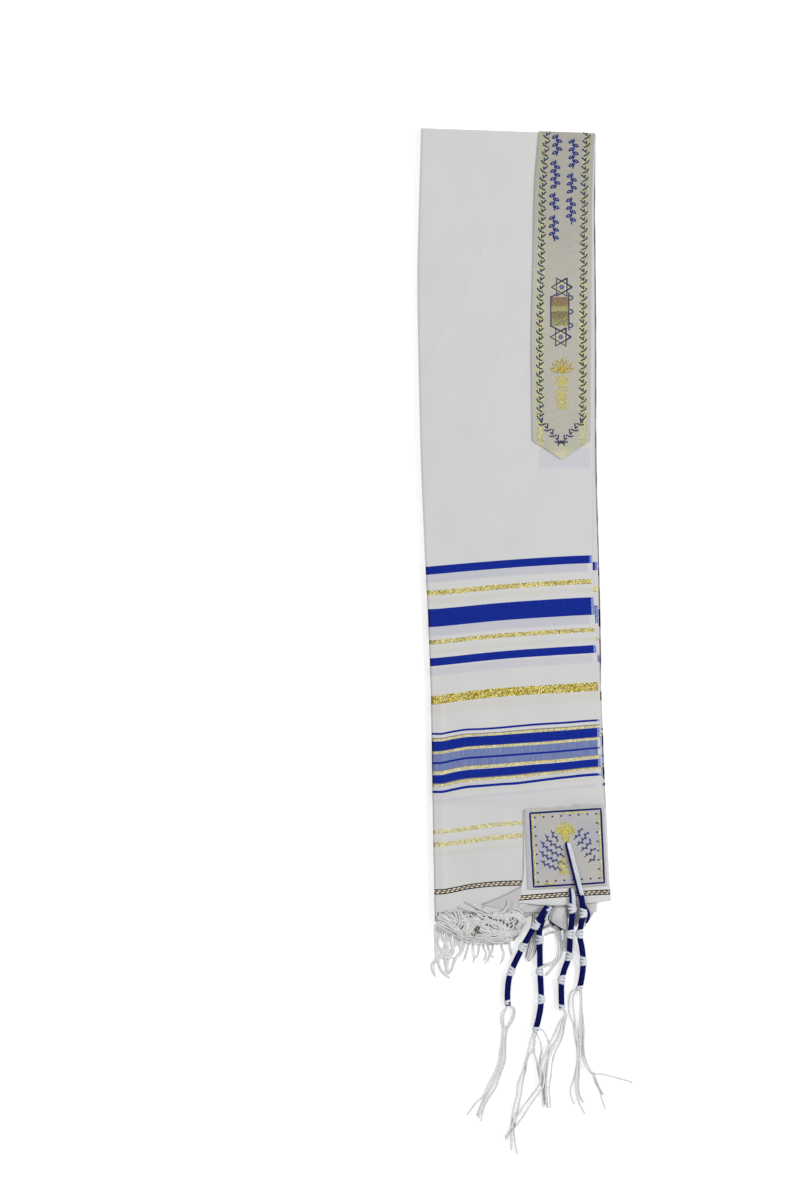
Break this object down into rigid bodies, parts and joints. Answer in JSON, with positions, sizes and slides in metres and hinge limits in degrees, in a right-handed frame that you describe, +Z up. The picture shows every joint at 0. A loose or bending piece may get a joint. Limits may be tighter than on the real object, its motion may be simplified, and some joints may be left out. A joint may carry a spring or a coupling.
{
  "type": "folded tallit prayer shawl",
  "caption": "White woven prayer shawl with blue and gold stripes, neckband, corner patch and knotted corner fringes, folded flat.",
  "frame": {"origin": "centre of the folded shawl's box, on the surface it lies on", "axes": "+Y along the folded length towards the top fold, +X towards the free edges, +Z up from the surface"},
  "size_m": [0.2362, 1.1277, 0.0184],
  "materials": {
    "cloth": "plain weave, matt, with woven blue and metallic gold stripes",
    "neckband": "jacquard band, slightly lustrous",
    "patch": "satin weave",
    "tzitzit": "wound yarn, matt",
    "fringe": "twisted yarn, matt"
  },
  "bodies": {
    "root": {"front_panel": "cloth", "second_ply": "cloth", "folded_layers": "cloth", "front_corner": "cloth", "hem_curl": "cloth", "neckband": "neckband", "corner_patch": "patch", "tzitzit_1": "tzitzit", "tzitzit_2": "tzitzit", "tzitzit_3": "tzitzit", "tzitzit_4": "tzitzit", "fringe_front": "fringe", "fringe_under": "fringe", "fringe_mid": "fringe", "fringe_right": "fringe"}
  },
  "joints": []
}
